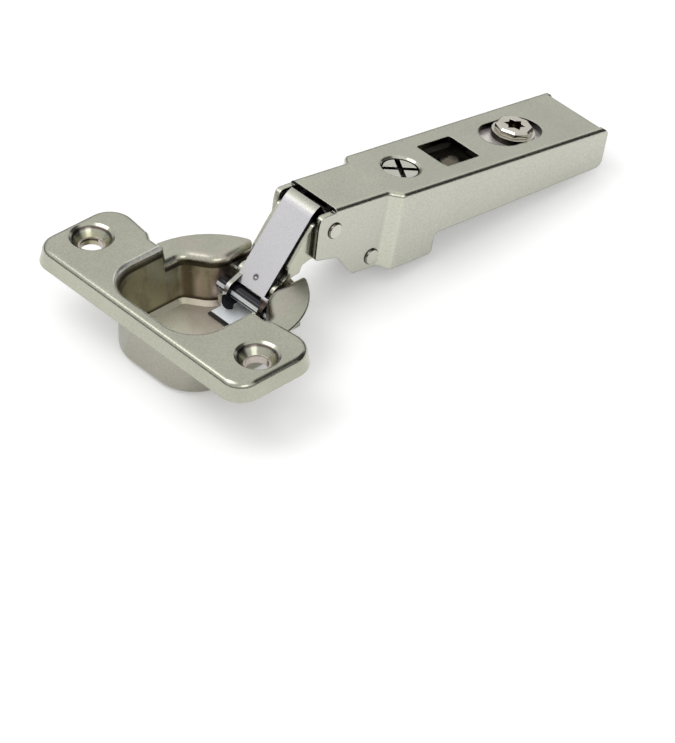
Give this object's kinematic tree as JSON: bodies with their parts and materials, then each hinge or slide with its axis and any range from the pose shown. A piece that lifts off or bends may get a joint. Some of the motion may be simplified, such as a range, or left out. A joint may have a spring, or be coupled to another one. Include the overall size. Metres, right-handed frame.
{
  "type": "concealed cup hinge",
  "caption": "Clip-on concealed cup hinge for overlay cabinet doors, with a pressed cup, two links and an adjustable channel arm, drawn open.",
  "frame": {"origin": "centre of the 35 mm cup on the plane of the door's back face", "axes": "+Z out of the door's back face, towards the open side of the cup; +X from the cup towards the arm and the cabinet; +Y along the hinge's pins"},
  "size_m": [0.1125, 0.0568, 0.022],
  "materials": {
    "nickel_sheet": "satin nickel plate",
    "outer_link_steel": "satin nickel plate",
    "inner_link_steel": "satin nickel plate",
    "dark_pin": "polished dark steel",
    "pin_steel": "satin nickel plate",
    "spring_steel": "polished spring steel",
    "screw_steel": "bright nickel plate",
    "carrier_steel": "satin nickel plate"
  },
  "bodies": {
    "cup_body": {"cup": "nickel_sheet", "cup_spring": "spring_steel", "outer_link_cup_pin": "dark_pin", "inner_link_cup_pin": "dark_pin"},
    "outer_link": {"outer_link": "outer_link_steel"},
    "inner_link": {"inner_link": "inner_link_steel"},
    "arm": {"arm": "nickel_sheet", "outer_link_arm_pin": "pin_steel", "inner_link_arm_pin": "pin_steel"},
    "side_screw": {"side_adjusting_screw": "screw_steel"},
    "carrier": {"carrier": "carrier_steel", "carrier_hook_pin": "pin_steel", "depth_screw_washer": "screw_steel", "depth_screw_nut": "carrier_steel", "latch_lever_pin": "pin_steel", "latch_spring": "spring_steel", "latch_spring_rivet": "pin_steel"},
    "depth_screw": {"depth_adjusting_screw": "screw_steel"},
    "latch_lever": {"latch_lever": "carrier_steel"}
  },
  "joints": [
    {"name": "door_closing", "type": "hinge", "parent": "cup_body", "child": "outer_link", "pos_m": [0.0086, 0, -0.0061], "axis": [0, -1, 0], "range_deg": [0, 115.14]},
    {"name": "arm_on_outer_link", "type": "hinge", "parent": "outer_link", "child": "arm", "pos_m": [0.02389, 0, 0.00566], "axis": [0, -1, 0], "range_deg": [-15.28, 0]},
    {"name": "inner_link_swing", "type": "hinge", "parent": "cup_body", "child": "inner_link", "pos_m": [0.012, 0, -0.0039], "axis": [0, -1, 0], "range_deg": [0, 125.96]},
    {"name": "side_screw_turn", "type": "hinge", "parent": "arm", "child": "side_screw", "pos_m": [0.04611, 0, 0.00633], "axis": [0.1712, 0, 0.9852], "range_deg": [-540, 540]},
    {"name": "depth_slide", "type": "slide", "parent": "arm", "child": "carrier", "axis": [0.9852, 0, -0.1712], "range_m": [-0.003, 0.0015]},
    {"name": "depth_screw_turn", "type": "hinge", "parent": "carrier", "child": "depth_screw", "pos_m": [0.07566, 0, 0.0012], "axis": [0.1712, 0, 0.9852], "range_deg": [-360, 180]},
    {"name": "latch_lift", "type": "hinge", "parent": "carrier", "child": "latch_lever", "pos_m": [0.08068, 0, -0.00496], "axis": [0, -1, 0], "range_deg": [0, 9], "stiffness_Nm_per_rad": 0.3, "springref_deg": -12.03, "deforming": ["latch_spring"]}
  ],
  "couplings": [
    {"joint": "arm_on_outer_link", "follows": "door_closing", "ratio": -0.1327},
    {"joint": "inner_link_swing", "follows": "door_closing", "ratio": 1.094},
    {"joint": "depth_screw_turn", "follows": "depth_slide", "rad_per_m": 2094.3}
  ]
}
